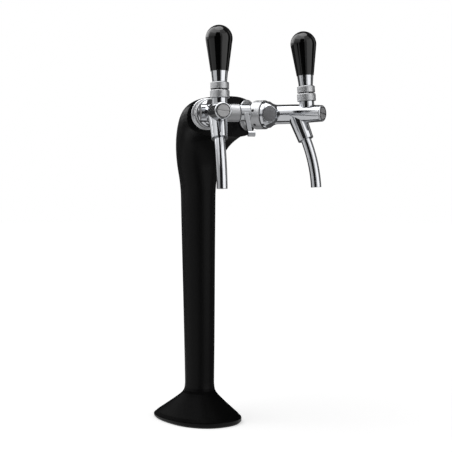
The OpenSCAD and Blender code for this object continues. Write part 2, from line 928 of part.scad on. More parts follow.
// Slotted plug with a milled rim that closes the nose of the tap
module front_plug(side) {
  teeth = 22;
  slot_w = 1.3;
  slot_depth = 1.9;
  color([0.42, 0.42, 0.42])
    at_tap(side)
      difference() {
        union() {
          along_x(plug_thread_r, plug_start, body_len - nose_recess);
          translate([body_len - nose_recess, 0, 0])
            rotate([0, 90, 0])
              linear_extrude(nose_recess - 0.2)
                polygon([for (i = [0:2 * teeth - 1]) let (r = plug_disc_r - 0.45 * (i % 2))
                  r * [cos(180 * i / teeth), sin(180 * i / teeth)]]);
        }
        rotate([-8, 0, 0])
          translate([body_len - slot_depth, -plug_disc_r - cut, -slot_w / 2])
            cube([slot_depth + cut, 2 * plug_disc_r + 2 * cut, slot_w]);
      }
}

module front_plug_left() front_plug(-1);
module front_plug_right() front_plug(1);

// Fixed satin ring that holds the lever's ball in the body
module bonnet_ring(side) {
  color([0.7, 0.71, 0.73])
    at_tap(side)
      at_handle()
        difference() {
          turned_z([
            [0, bonnet_low], [bonnet_r - 0.5, bonnet_low], [bonnet_r, bonnet_low + 0.5],
            [bonnet_r, bonnet_top - 1.3], [bonnet_r - 1.3, bonnet_top], [0, bonnet_top]
          ]);
          along_z(neck_thread_r + thread_gap, bonnet_low - cut, pivot_z + neck_rise + bonnet_seat);
          translate([0, 0, pivot_z])
            sphere(r = ball_r + run_gap);
          cone_z(6.4, 8.4, pivot_z + 4, bonnet_top + 0.2);
        }
}

module bonnet_ring_left() bonnet_ring(-1);
module bonnet_ring_right() bonnet_ring(1);

// Lever: ball in the socket, stem and stud above, tail with a round tip below
module tap_lever(side) {
  color([0.72, 0.62, 0.36])
    at_tap(side)
      at_handle() {
        translate([0, 0, pivot_z])
          sphere(r = ball_r);
        along_z(stem_r, pivot_z, ferrule_top + stud_len);
        along_z(tail_r, pivot_z - tip_drop, pivot_z);
        translate([0, 0, pivot_z - tip_drop])
          sphere(r = tip_r);
      }
}

module tap_lever_left() tap_lever(-1);
module tap_lever_right() tap_lever(1);

// Satin skirt ring that turns with the handle over the bonnet ring
module skirt_ring(side) {
  color([0.7, 0.71, 0.73])
    at_tap(side)
      at_handle()
        difference() {
          turned_z([
            [0, skirt_low], [skirt_r, skirt_low], [skirt_r, skirt_top - 0.8],
            [skirt_r - 0.8, skirt_top], [0, skirt_top]
          ]);
          translate([0, 0, pivot_z])
            sphere(r = skirt_hollow_r);
          along_z(stem_r + thread_gap, skirt_low, skirt_top + cut);
        }
}

module skirt_ring_left() skirt_ring(-1);
module skirt_ring_right() skirt_ring(1);

module handle_ferrule(side) {
  color([0.85, 0.86, 0.88])
    at_tap(side)
      at_handle()
        difference() {
          cone_z(ferrule_r, grip_low_r - 0.7, skirt_top, ferrule_top);
          along_z(stem_r + thread_gap, skirt_top - cut, ferrule_top + cut);
        }
}

module handle_ferrule_left() handle_ferrule(-1);
module handle_ferrule_right() handle_ferrule(1);

// Black grip: a cone that runs tangent into a round head
module handle_grip(side) {
  low = grip_z - ferrule_top;
  reach = norm([grip_low_r, low]);
  touch = acos(grip_r / reach) - atan2(low, grip_low_r);
  color([0.02, 0.02, 0.02])
    at_tap(side)
      at_handle()
        difference() {
          union() {
            cone_z(grip_low_r, grip_r * cos(touch), ferrule_top, grip_z + grip_r * sin(touch));
            intersection() {
              translate([0, 0, grip_z])
                sphere(r = grip_r);
              along_z(grip_r + cut, grip_z + grip_r * sin(touch), grip_z + grip_r + cut);
            }
          }
          along_z(stem_r + thread_gap, ferrule_top - cut, ferrule_top + stud_len + cut);
        }
}

module handle_grip_left() handle_grip(-1);
module handle_grip_right() handle_grip(1);

// Spout tube: straight in its socket, then a long bend
module spout(side) {
  color([0.85, 0.86, 0.88])
    at_tap(side)
      at_spout() {
        difference() {
          along_z(spout_r, -spout_boss, -spout_boss + spout_socket);
          along_z(spout_in_r, -spout_boss - cut, -spout_boss + spout_socket + cut);
        }
        translate([-spout_bend, 0, -spout_boss])
          rotate([-90, 0, 0])
            rotate_extrude(angle = spout_turn)
              translate([spout_bend, 0])
                difference() {
                  circle(r = spout_r);
                  circle(r = spout_in_r);
                }
      }
}

module spout_left() spout(-1);
module spout_right() spout(1);

// Beer line: up the column, then a bend into the arm and over the shank's barb
function bezier(p, t) = p[0] * pow(1 - t, 3) + p[1] * 3 * t * pow(1 - t, 2)
  + p[2] * 3 * t * t * (1 - t) + p[3] * pow(t, 3);
function bezier_way(p, t) = (p[1] - p[0]) * pow(1 - t, 2) + (p[2] - p[1]) * 2 * t * (1 - t)
  + (p[3] - p[2]) * t * t;
function unit(v) = v / norm(v);
function line_ring(centre, way, r) = let (u = unit(cross(way, [0.92, 0.39, 0])), v = cross(unit(way), u))
  [for (i = [0:11]) centre + r * (cos(30 * i) * u + sin(30 * i) * v)];

module line_solid(side, r, over) {
  steps = 14;
  out = [side * sin(tap_splay), -cos(tap_splay), 0];
  seat = [side * tap_side, -column_forward - tap_forward, tap_height];
  end = seat - out * shank_tail;
  low = [side * line_x, -column_forward, coupler_low + coupler_len - coupler_depth - over];
  turn = [side * line_x, -column_forward, tap_height - channel_bend];
  way = [turn, turn + [0, 0, 26], end - out * 24, end];
  skin(concat(
    [line_ring(low, [0, 0, 1], r)],
    [for (i = [0:steps]) line_ring(bezier(way, i / steps), bezier_way(way, i / steps), r)],
    [line_ring(end + out * (12 + over), out, r)]
  ));
}

module beer_line(side) {
  color([0.8, 0.82, 0.85])
    difference() {
      line_solid(side, line_r, 0);
      line_solid(side, line_in_r, cut);
    }
}

module beer_line_left() beer_line(-1);
module beer_line_right() beer_line(1);

// Push-in coupler on the lower end of each beer line
module line_coupler(side) {
  edge = 1;
  top = coupler_low + coupler_len;
  color([0.75, 0.75, 0.72])
    translate([side * line_x, -column_forward, 0])
      difference() {
        turned_z([
          [0, coupler_low], [coupler_r - edge, coupler_low], [coupler_r, coupler_low + edge],
          [coupler_r, top - edge], [coupler_r - edge, top], [0, top]
        ]);
        along_z(line_r + run_gap, coupler_low - cut, coupler_low + coupler_depth);
        along_z(line_in_r, coupler_low, top);
        along_z(line_r + run_gap, top - coupler_depth, top + cut);
      }
}

module line_coupler_left() line_coupler(-1);
module line_coupler_right() line_coupler(1);

base_gasket();
base_plate();
plate_screws();
tower_body();
flange_gasket_left();
flange_gasket_right();
tap_flange_left();
tap_flange_right();
shank_left();
shank_right();
shank_nut_left();
shank_nut_right();
tail_washer_left();
tail_washer_right();
coupling_ring_left();
coupling_ring_right();
tap_body_left();
tap_body_right();
compensator_left();
compensator_right();
regulator_shaft_left();
regulator_shaft_right();
regulator_gland_left();
regulator_gland_right();
regulator_lever_left();
regulator_lever_right();
regulator_screw_left();
regulator_screw_right();
regulator_cap_left();
regulator_cap_right();
valve_piston_left();
valve_piston_right();
piston_seals_left();
piston_seals_right();
front_plug_left();
front_plug_right();
bonnet_ring_left();
bonnet_ring_right();
tap_lever_left();
tap_lever_right();
skirt_ring_left();
skirt_ring_right();
handle_ferrule_left();
handle_ferrule_right();
handle_grip_left();
handle_grip_right();
spout_left();
spout_right();
beer_line_left();
beer_line_right();
line_coupler_left();
line_coupler_right();
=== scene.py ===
# %% [markdown]
# # A counter beer dispenser with two flow-control taps
#
# The real object is a black cast column with a cobra-like hood, and two polished taps that lean out of
# it. The CAD model already holds every piece at its real size, so this lesson doesn't model them again.
# It loads them as a fixed frame, lights them as a studio would light chrome, and gives each surface its
# own finish.

# %% Load the frame
import math
import bpy
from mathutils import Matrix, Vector


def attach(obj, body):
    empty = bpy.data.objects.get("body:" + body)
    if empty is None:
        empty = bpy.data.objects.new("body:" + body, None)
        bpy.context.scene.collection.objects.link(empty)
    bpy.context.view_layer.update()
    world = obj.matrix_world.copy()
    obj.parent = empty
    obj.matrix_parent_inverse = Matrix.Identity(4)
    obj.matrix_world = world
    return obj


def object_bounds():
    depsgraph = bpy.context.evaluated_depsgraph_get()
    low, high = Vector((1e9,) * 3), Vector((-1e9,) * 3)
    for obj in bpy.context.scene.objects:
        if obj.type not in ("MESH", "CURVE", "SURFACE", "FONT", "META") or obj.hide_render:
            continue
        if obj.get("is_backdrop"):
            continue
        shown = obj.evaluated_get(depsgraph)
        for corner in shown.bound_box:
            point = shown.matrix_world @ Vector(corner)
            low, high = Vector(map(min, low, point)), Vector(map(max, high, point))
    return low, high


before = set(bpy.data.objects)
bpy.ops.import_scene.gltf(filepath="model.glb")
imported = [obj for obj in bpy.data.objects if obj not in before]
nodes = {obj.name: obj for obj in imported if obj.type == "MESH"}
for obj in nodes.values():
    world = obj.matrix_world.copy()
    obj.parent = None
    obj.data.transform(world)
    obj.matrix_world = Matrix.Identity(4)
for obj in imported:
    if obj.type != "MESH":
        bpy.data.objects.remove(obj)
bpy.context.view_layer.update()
SIDES = ("left", "right")
MM = 1000                   # millimetres in a metre

# %% [markdown]
# ## The camera
#
# A catalogue photograph of such a tower is taken with a long lens, level with the upper part of the
# column. A viewpoint can be found by eye, or fitted: the model's edges are laid over the picture's until
# they agree. Here it was fitted, so the camera is written as a bearing and a distance from the column, a
# height, and the direction that the lens points in.

# %% Place the camera
PHOTO_SIDE = 452            # px
FOCAL_LENGTH = 1190.4       # px
SENSOR = 36.0               # mm
FARTHEST_VIEW = 50          # m
COLUMN_AXIS = Vector((0, -0.007, 0))
CAMERA_BEARING = math.radians(-32.9)
CAMERA_DISTANCE = 1.833     # m
CAMERA_HEIGHT = 0.3992      # m
AIM_BEARING = math.radians(-34.184)
AIM_PITCH = math.radians(-3.082)
LEVEL_VIEW = math.radians(90)   # a camera that isn't turned looks straight down


def add_object(name, data):
    """A new object in the scene that shows the given data."""
    thing = bpy.data.objects.new(name, data)
    bpy.context.scene.collection.objects.link(thing)
    return thing


def on_bearing(bearing, distance, height):
    """A point round the column: bearing 0 is straight in front of it, and grows towards the right tap."""
    out = Vector((math.sin(bearing), -math.cos(bearing), 0))
    return COLUMN_AXIS + distance * out + Vector((0, 0, height))


camera = add_object("camera", bpy.data.cameras.new("camera"))
bpy.context.scene.camera = camera
camera.data.sensor_width = SENSOR
camera.data.lens = FOCAL_LENGTH * SENSOR / PHOTO_SIDE
camera.data.clip_end = FARTHEST_VIEW
camera.location = on_bearing(CAMERA_BEARING, CAMERA_DISTANCE, CAMERA_HEIGHT)
camera.rotation_euler = (LEVEL_VIEW + AIM_PITCH, 0, AIM_BEARING)
print("lens", round(camera.data.lens, 1), "mm at", [round(v, 3) for v in camera.location])

# %% [markdown]
# ## Small helpers for node trees
#
# Every finish below is a node tree. Typing each link in full hides the idea behind the bookkeeping, so
# one helper makes a node, and one feeds its inputs, with plain values or with the sockets of other nodes.
# The rest are nodes that come up again and again: a sum, an even ramp, the upward part of a vector, the
# place on the surface, and whether the point is looked at directly.

# %% Node helpers
def feed(tree, node, inputs):
    """Gives each input, by its name or number, a plain value or another node's socket."""
    for label, value in inputs.items():
        if isinstance(value, bpy.types.NodeSocket):
            tree.links.new(value, node.inputs[label])
        else:
            node.inputs[label].default_value = value


def add_node(tree, kind, inputs=None, **settings):
    """A new node, with its properties set by name and its inputs fed."""
    node = tree.nodes.new(kind)
    for name, value in settings.items():
        setattr(node, name, value)
    feed(tree, node, inputs or {})
    return node


def maths(tree, operation, *values, clamp=False):
    """One Math node. Each value is a number or a socket; the result's socket comes back."""
    inputs = dict(enumerate(values))
    return add_node(tree, "ShaderNodeMath", inputs, operation=operation, use_clamp=clamp).outputs[0]


def ramp(tree, value, start, end, first, last):
    """Runs evenly from the first result to the last while the value goes from start to end."""
    inputs = {"Value": value, "From Min": start, "From Max": end, "To Min": first, "To Max": last}
    return add_node(tree, "ShaderNodeMapRange", inputs).outputs["Result"]


def upward(tree, vector):
    """The upward part of a place or a direction."""
    return add_node(tree, "ShaderNodeSeparateXYZ", {"Vector": vector}).outputs["Z"]


def surface_place(tree):
    """Where the point lies on its object, in metres."""
    return add_node(tree, "ShaderNodeTexCoord").outputs["Object"]


def seen_directly(tree):
    """1 where the camera, a mirror or a glass looks, and 0 where a matt surface gathers light."""
    path = add_node(tree, "ShaderNodeLightPath").outputs
    seen = maths(tree, "MAXIMUM", path["Is Camera Ray"], path["Is Glossy Ray"])
    return maths(tree, "MAXIMUM", seen, path["Is Transmission Ray"])


NODE_HELPERS = (feed, add_node, maths, ramp, upward, surface_place, seen_directly)
print("node helpers:", ", ".join(helper.__name__ for helper in NODE_HELPERS))

# %% [markdown]
# ## White room
#
# Behind a catalogue picture there is only white. The world is plain white where it is looked at, and
# dimmer as a light, so that it fills the shadows without washing out the lamps. The Standard view keeps
# white white.

# %% World
WHITE = (1, 1, 1, 1)
AMBIENT = 0.4               # the world as a light, where 1 is the white that is seen


def make_world():
    world = bpy.data.worlds.new("white room")
    bpy.context.scene.world = world
    world.use_nodes = True
    tree = world.node_tree
    strength = maths(tree, "MULTIPLY_ADD", seen_directly(tree), 1 - AMBIENT, AMBIENT)
    feed(tree, tree.nodes["Background"], {"Color": WHITE, "Strength": strength})


bpy.context.scene.view_settings.view_transform = "Standard"
make_world()
print("world:", bpy.context.scene.world.name, "with an ambient light of", AMBIENT)

# %% [markdown]
# ## Paper floor
#
# The floor is a large disc of white paper. It could be lit until all of it is white, but then the lamps
# would wash out the part. So it glows a little where it is looked at, and more where the lamps reach
# less. It stays evenly white that way, and still takes the soft shadow.

# %% Floor
FLOOR_RADIUS = 6.0          # m
FLOOR_CORNERS = 96
PAPER_TONE = 0.8
PAPER_ROUGHNESS = 0.9
NEAR_GLOW = 0.47            # of the paper round the foot
FAR_GLOW = 0.7              # of the paper where the lamps don't reach
GLOW_STARTS = 0.3           # m from the middle
GLOW_FULL = 2.5             # m from the middle


def new_finish(name, constants):
    """A material whose Principled shader has these values all over."""
    finish = bpy.data.materials.new(name)
    finish.use_nodes = True
    tree = finish.node_tree
    shader = tree.nodes["Principled BSDF"]
    feed(tree, shader, constants)
    return finish, tree, shader


def white_paper():
    finish, tree, shader = new_finish("white paper", {
        "Base Color": (PAPER_TONE, PAPER_TONE, PAPER_TONE, 1),
        "Roughness": PAPER_ROUGHNESS,
        "Specular IOR Level": 0.0,
        "Emission Color": WHITE,
    })
    away = add_node(tree, "ShaderNodeVectorMath", {0: surface_place(tree)}, operation="LENGTH")
    glow = ramp(tree, away.outputs["Value"], GLOW_STARTS, GLOW_FULL, NEAR_GLOW, FAR_GLOW)
    feed(tree, shader, {"Emission Strength": maths(tree, "MULTIPLY", seen_directly(tree), glow)})
    return finish


def make_floor():
    rim = []
    for i in range(FLOOR_CORNERS):
        turn = i * 2 * math.pi / FLOOR_CORNERS
        rim.append((FLOOR_RADIUS * math.cos(turn), FLOOR_RADIUS * math.sin(turn), 0))
    mesh = bpy.data.meshes.new("floor")
    mesh.from_pydata(rim, [], [range(FLOOR_CORNERS)])
    mesh.materials.append(white_paper())
    add_object("floor", mesh)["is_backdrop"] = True


make_floor()
print("paper floor", 2 * FLOOR_RADIUS, "m across")

# %% [markdown]
# ## Lamps
#
# Two soft boxes light the paint, the rubber and the floor, and throw the soft shadow. In chrome a lamp
# would show as a hard white square wherever it happens to stand, so mirrors don't see these lamps: what
# they show is left to the cards below. Bearings are counted from the camera, to the right as the camera
# sees it.

# %% Soft boxes
LAMP_AIM = COLUMN_AXIS + Vector((0, 0, 0.45))


def soft_box(name, bearing, distance, height, width, tall, brightness):
    """A flat lamp turned to the column. A brightness of 1 is the white of the room."""
    lamp = bpy.data.lights.new(name, "AREA")
    lamp.shape = "RECTANGLE"
    lamp.size = width
    lamp.size_y = tall
    lamp.energy = brightness * math.pi * width * tall
    box = add_object(name, lamp)
    box.location = on_bearing(CAMERA_BEARING + math.radians(bearing), distance, height)
    box.rotation_euler = (LAMP_AIM - box.location).to_track_quat("-Z", "Y").to_euler()
    box.visible_glossy = False
    print(name, "at", [round(v, 2) for v in box.location], "m")


soft_box("key lamp", bearing=-70, distance=1.0, height=2.2, width=2.0, tall=2.0, brightness=1.8)
soft_box("fill lamp", bearing=53, distance=2.6, height=0.85, width=2.3, tall=1.7, brightness=1.35)

# %% [markdown]
# ## Cards for the chrome
#
# Chrome has no colour of its own: it shows the room. In a white room it would vanish, so a photographer
# hangs dark, grey and bright cards round it, which the metal shows as crisp bands. The cards here are
# sheets bent round the column. Only reflections show them, in the chrome, on the grips and in the sheen of
# the paint: they light and shade nothing else, and never stand in the picture. A tone of 1 is the white of
# the room.

# %% Card helpers
CARD_STEPS = 24


def card_finish(name, low_tone, high_tone, top):
    """Plain card that goes from one tone at the floor to another at its top edge."""
    card = bpy.data.materials.new(name)
    card.use_nodes = True
    card.cycles.emission_sampling = "NONE"
    tree = card.node_tree
    tree.nodes.remove(tree.nodes["Principled BSDF"])
    tone = ramp(tree, upward(tree, surface_place(tree)), 0.0, top, low_tone, high_tone)
    glow = add_node(tree, "ShaderNodeEmission", {"Strength": tone})
    feed(tree, tree.nodes["Material Output"], {"Surface": glow.outputs[0]})
    return card


def hang_card(name, bearings, below, above, tones):
    """A sheet between two bearings. Its lower and upper edge are each a distance and a height."""
    start, end = bearings
    points = []
    for i in range(CARD_STEPS + 1):
        bearing = CAMERA_BEARING + math.radians(start + (end - start) * i / CARD_STEPS)
        points += [on_bearing(bearing, *below), on_bearing(bearing, *above)]
    faces = [(2 * i, 2 * i + 2, 2 * i + 3, 2 * i + 1) for i in range(CARD_STEPS)]
    mesh = bpy.data.meshes.new(name)
    mesh.from_pydata(points, [], faces)
    mesh.materials.append(card_finish(name, *tones, above[1]))
    card = add_object(name, mesh)
    card.visible_camera = False
    card.visible_diffuse = False
    card.visible_shadow = False
    card.visible_transmission = False
    card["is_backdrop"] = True


print("each card is bent in", CARD_STEPS, "steps")

# %% [markdown]
# ### Cards on the floor
#
# The undersides of the barrels, the bells and the spouts show the floor. It is pale on the key lamp's
# side and dark behind the tower, with one pale patch there that lifts the lower edge of the barrels.

# %% Floor cards
WALL = 3.2                  # m from the column
BESIDE_FOOT = 0.1           # m from the column
PAPER_LAYER = 0.004         # m above the floor
PATCH_LAYER = 0.006         # m above the floor
CARD_TILT = 0.001           # m, how much higher the far edge lies
FLOOR_CARDS = (             # name, bearings, distances, height, tone
    ("pale floor left", (-110, -10), (BESIDE_FOOT, WALL), PAPER_LAYER, 0.85),
    ("dim floor strip", (-10, 24), (BESIDE_FOOT, WALL), PAPER_LAYER, 0.2),
    ("grey floor right", (24, 80), (BESIDE_FOOT, WALL), PAPER_LAYER, 0.65),
    ("dark floor rear", (80, 250), (BESIDE_FOOT, WALL), PAPER_LAYER, 0.1),
    ("pale floor near the rear", (165, 235), (0.25, 0.6), PATCH_LAYER, 0.75),
)
for name, bearings, (near, far), height, tone in FLOOR_CARDS:
    hang_card(name, bearings, (near, height), (far, height + CARD_TILT), (tone, tone))
print(len(FLOOR_CARDS), "floor cards")

# %% [markdown]
# ### Dark cards in front
#
# A cylinder that faces the lens shows the place where the lens stands. Dark cards there give the spouts,
# the ferrules and the column their dark middle band, and keep the grips black. Three pieces of different
# width do it, because pieces of different height on the part look at different heights of the room.

# %% Front cards
FRONT = 1.3                 # m from the column
BLACK_CARD = 0.02
FRONT_CARDS = (             # name, bearings, heights
    ("dark low front card", (-14, 28), (0.0, 0.28)),
    ("dark front card", (-36, 12), (0.28, 0.85)),
    ("dark upper front card", (-28, 9), (0.85, 1.85)),
)
for name, bearings, (low, high) in FRONT_CARDS:
    hang_card(name, bearings, (FRONT, low), (FRONT, high), (BLACK_CARD, BLACK_CARD))
print(len(FRONT_CARDS), "front cards")

# %% [markdown]
# ### Cards on the walls
#
# Round the rest of the room stand a tall soft box on the right, dark cards beside and behind the tower,
# and paler ones on the left, with a second soft box high up at the left rear. One even wall would leave
# the chrome flat: the edges of these cards are the edges of its bands.

# %% Wall cards
WALL_TOP = 3.2              # m
WALL_CARDS = (              # name, bearings, heights, tones
    ("grey side card", (9, 27), (0.0, 2.2), (0.6, 0.6)),
    ("tall soft box", (27, 80), (0.0, 2.8), (1.7, 1.7)),
    ("dark right card", (80, 105), (0.0, WALL_TOP), (0.03, 0.1)),
    ("grey right strip", (105, 122), (0.0, WALL_TOP), (0.5, 0.5)),
    ("dark rear card", (122, 210), (0.0, WALL_TOP), (0.03, 0.1)),
    ("dim left rear card", (-150, -100), (0.0, 0.55), (0.1, 0.1)),
    ("grey left rear card", (-150, -100), (0.55, 1.1), (0.9, 0.9)),
    ("left rear soft box", (-150, -100), (1.1, WALL_TOP), (3.0, 3.0)),
    ("pale left skirting", (-100, -36), (0.0, 0.5), (0.8, 0.8)),
    ("grey left band", (-100, -30), (0.5, 1.4), (0.55, 0.55)),
    ("pale left card", (-100, -28), (1.4, WALL_TOP), (0.3, 1.5)),
)
for name, bearings, (low, high), tones in WALL_CARDS:
    hang_card(name, bearings, (WALL, low), (WALL, high), tones)
print(len(WALL_CARDS), "wall cards")

# %% [markdown]
# ### Cards on the ceiling
#
# The upper sides of the barrels show the ceiling as a nearly white stripe, so it is the brightest part of
# the room. A ring of cards leads in from the walls, and two half discs close the middle.

# %% Ceiling cards
CEILING = 3.4               # m
CEILING_RISE = 0.01         # m, how much higher its middle lies
WALL_EDGE = (WALL, WALL_TOP)
INNER_EDGE = (1.2, CEILING)
MIDDLE = (0.0, CEILING + CEILING_RISE)
CEILING_CARDS = (           # name, bearings, outer edge, inner edge, tone
    ("key soft box", (-150, 10), WALL_EDGE, INNER_EDGE, 3.2),
    ("pale ceiling", (10, 70), WALL_EDGE, INNER_EDGE, 1.2),
    ("dark ceiling", (70, 210), WALL_EDGE, INNER_EDGE, 0.1),
    ("bright zenith left", (-150, 30), INNER_EDGE, MIDDLE, 5.0),
    ("bright zenith right", (30, 210), INNER_EDGE, MIDDLE, 4.0),
)
for name, bearings, outer, inner, tone in CEILING_CARDS:
    hang_card(name, bearings, outer, inner, (tone, tone))
print(len(CEILING_CARDS), "ceiling cards")

# %% [markdown]
# ## Effects that the finishes share
#
# Real surfaces are never one value all over. Paint has orange peel, blasted metal has a grain, fingers
# leave soft smears, dust settles where a surface looks up, and every machined edge is broken by a
# fraction of a millimetre. Each of these is a node group with named inputs, so a finish only says how
# much of it it has.

# %% Start a node group
VALUE = "NodeSocketFloat"
DIRECTION = "NodeSocketVector"


def new_group(name, inputs, outputs):
    """An empty group. Inputs are names with start values; outputs are names with socket kinds."""
    group = bpy.data.node_groups.new(name, "ShaderNodeTree")
    for label, start in inputs.items():
        group.interface.new_socket(label, in_out="INPUT", socket_type=VALUE).default_value = start
    for label, kind in outputs.items():
        group.interface.new_socket(label, in_out="OUTPUT", socket_type=kind)
    entry = group.nodes.new("NodeGroupInput")
    leave = group.nodes.new("NodeGroupOutput")
    return group, entry.outputs, leave


def noise(tree, scale, detail=2.0, roughness=0.5):
    """Noise over the surface; scale is a number or a socket, in grains per metre."""
    inputs = {"Vector": surface_place(tree), "Scale": scale, "Detail": detail, "Roughness": roughness}
    return add_node(tree, "ShaderNodeTexNoise", inputs).outputs["Fac"]


print("group helpers:", new_group.__name__, "and", noise.__name__)

# %% [markdown]
# ### Grain
#
# Blasted chrome, orange peel in paint and the matt skin of rubber differ only in the size and the depth
# of their grain. Two sizes of noise together look less regular than one.

# %% Grain group
COARSE_SCALE = 0.22         # coarse grains for each fine one


def make_grain():
    inputs = {"Grains per Metre": 2000.0, "Coarse Share": 0.3}
    group, given, leave = new_group("surface grain", inputs, {"Height": VALUE})
    fine = noise(group, given["Grains per Metre"])
    coarse = noise(group, maths(group, "MULTIPLY", given["Grains per Metre"], COARSE_SCALE))
    step = maths(group, "SUBTRACT", coarse, fine)
    feed(group, leave, {"Height": maths(group, "MULTIPLY_ADD", step, given["Coarse Share"], fine)})
    return group


GRAIN = make_grain()
print("group:", GRAIN.name)

# %% [markdown]
# ### Smears
#
# Hands and a cloth leave a metal or a lacquer a little duller in soft patches. The group puts out a
# roughness between two values, and the same patches as a mask for anything else that should follow them.

# %% Smear group
STREAKS_PER_PATCH = 7.0
SMEAR_CONTRAST = 3.2
SMEAR_OFFSET = -0.45


def make_smears():
    inputs = {"Patches per Metre": 30.0, "Clean Roughness": 0.05, "Smeared Roughness": 0.15}
    group, given, leave = new_group("hand smears", inputs, {"Roughness": VALUE, "Mask": VALUE})
    patches = given["Patches per Metre"]
    patch = noise(group, patches, detail=4.0, roughness=0.6)
    streak = noise(group, maths(group, "MULTIPLY", patches, STREAKS_PER_PATCH), detail=3.0)
    mixed = maths(group, "MULTIPLY", patch, streak)
    mask = maths(group, "MULTIPLY_ADD", mixed, SMEAR_CONTRAST, SMEAR_OFFSET, clamp=True)
    span = maths(group, "SUBTRACT", given["Smeared Roughness"], given["Clean Roughness"])
    roughness = maths(group, "MULTIPLY_ADD", mask, span, given["Clean Roughness"])
    feed(group, leave, {"Roughness": roughness, "Mask": mask})
    return group


SMEARS = make_smears()
print("group:", SMEARS.name)

# %% [markdown]
# ### Broken edges
#
# No edge on a machined or cast piece is truly sharp. A bevel could be cut into each mesh, but the pieces
# come from CAD and stay as they are, so the shader rounds the normals near an edge instead. At this size
# the eye only sees the thin glint along the edge.

# %% Edge groups
EDGE_SAMPLES = 6
FINE_EDGE = 0.0005          # m
CAST_EDGE = 0.0014          # m


def make_broken_edges(name, radius):
    group, _, leave = new_group(name, {}, {"Normal": DIRECTION})
    rounded = add_node(group, "ShaderNodeBevel", {"Radius": radius}, samples=EDGE_SAMPLES)
    feed(group, leave, {"Normal": rounded.outputs["Normal"]})
    return group


FINE_EDGES = make_broken_edges("fine broken edges", FINE_EDGE)
CAST_EDGES = make_broken_edges("cast broken edges", CAST_EDGE)
print("groups:", FINE_EDGES.name, "and", CAST_EDGES.name)

# %% [markdown]
# ### Settled dust
#
# Dust lies where a surface looks up, thinly and in patches. The group gives a mask from the upward part
# of the normal, broken up by noise, which a finish uses to lift its colour by a touch. A second mask,
# Film, is even: it says where the thin film between the flecks takes away the sheen. The larger Film
# Start is, the flatter a surface has to lie before the film shows.

# %% Dust group
FLECKS_PER_METRE = 900.0
FLECK_CONTRAST = 4.0
FLECK_OFFSET = -1.7
FLATNESS = 2.0              # power that keeps the flecks to nearly flat places
FILM_CONTRAST = 4.0
FILM_ON_FLAT = 1.7          # Film Start where only nearly flat places hold the film


def make_dust():
    inputs = {"Amount": 0.2, "Film Start": FILM_ON_FLAT}
    group, given, leave = new_group("settled dust", inputs, {"Mask": VALUE, "Film": VALUE})
    normal = add_node(group, "ShaderNodeNewGeometry").outputs["Normal"]
    up = maths(group, "MAXIMUM", upward(group, normal), 0.0)
    flecks = noise(group, FLECKS_PER_METRE, detail=4.0, roughness=0.7)
    patchy = maths(group, "MULTIPLY_ADD", flecks, FLECK_CONTRAST, FLECK_OFFSET, clamp=True)
    amount = maths(group, "MULTIPLY", patchy, given["Amount"])
    mask = maths(group, "MULTIPLY", maths(group, "POWER", up, FLATNESS), amount)
    level = maths(group, "MULTIPLY", up, FILM_CONTRAST)
    film = maths(group, "SUBTRACT", level, given["Film Start"], clamp=True)
    feed(group, leave, {"Mask": mask, "Film": film})
    return group


DUST = make_dust()
print("group:", DUST.name)

# %% [markdown]
# ### Painted shade in joints
#
# The joint between two pieces, a spanner hole and the corner under a boss lie in shade, and here that shade
# is painted into the colour. It could be painted by hand. The Ambient Occlusion node finds these places by
# itself, because it measures how much of the sky above a point its neighbours hide.

# %% Painted joint shade group
JOINT_SHADE_SAMPLES = 8
JOINT_SHADE_CONTRAST = 1.7
JOINT_SHADE_OFFSET = -0.3


# painted shade: a mask that darkens a finish where its neighbours hide the sky
def make_joint_shade():
    group, given, leave = new_group("painted shade in joints", {"Reach": 0.003, "Amount": 0.8}, {"Mask": VALUE})
    inputs = {"Distance": given["Reach"]}
    open_sky = add_node(group, "ShaderNodeAmbientOcclusion", inputs, samples=JOINT_SHADE_SAMPLES).outputs["AO"]
    closed = maths(group, "SUBTRACT", 1.0, open_sky)
    deep = maths(group, "MULTIPLY_ADD", closed, JOINT_SHADE_CONTRAST, JOINT_SHADE_OFFSET, clamp=True)
    feed(group, leave, {"Mask": maths(group, "MULTIPLY", deep, given["Amount"])})
    return group


PAINTED_SHADE = make_joint_shade()
print("group:", PAINTED_SHADE.name)

# %% [markdown]
# ## Finishes
#
# A finish is one material. It could be typed node by node, but all of them are put together from the same
# few steps: smears, a grain, two colours mixed by a mask, painted shade in the joints, and a bump over the
# rounded edges. Each step is a helper, so that a finish reads as a short recipe.

# %% Finish helpers
MIX_FIRST = 6               # numbers of the colour sockets of a Mix node
MIX_SECOND = 7
MIX_RESULT = 2


def place_group(tree, group, inputs=None):
    """A group in this finish, with its own values; its outputs come back."""
    return add_node(tree, "ShaderNodeGroup", inputs, node_tree=group).outputs


def smears_on(tree, patches, clean, smeared):
    inputs = {"Patches per Metre": patches, "Clean Roughness": clean, "Smeared Roughness": smeared}
    return place_group(tree, SMEARS, inputs)


def grain_on(tree, grains, coarse):
    return place_group(tree, GRAIN, {"Grains per Metre": grains, "Coarse Share": coarse})["Height"]


def grey(tone):
    return (tone, tone, tone)


def blend_colours(tree, mask, first, second):
    """Mixes two colours, each a tuple or a socket, by a mask."""
    inputs = {"Factor": mask}
    for number, colour in ((MIX_FIRST, first), (MIX_SECOND, second)):
        inputs[number] = (*colour, 1) if isinstance(colour, tuple) else colour
    return add_node(tree, "ShaderNodeMix", inputs, data_type="RGBA").outputs[MIX_RESULT]


def add_painted_shade(tree, plate, reach, amount, shade_colour):
    """The plate's colour, darkened in joints with painted shade; reach is in metres."""
    joint_shade = place_group(tree, PAINTED_SHADE, {"Reach": reach, "Amount": amount})
    return blend_colours(tree, joint_shade["Mask"], plate, shade_colour)


def bumped(tree, height, depth, edges):
    """A bump of the given depth in metres over edges that are rounded by a group."""
    rounded = place_group(tree, edges)["Normal"]
    inputs = {"Strength": 1.0, "Distance": depth, "Height": height, "Normal": rounded}
    return add_node(tree, "ShaderNodeBump", inputs).outputs["Normal"]


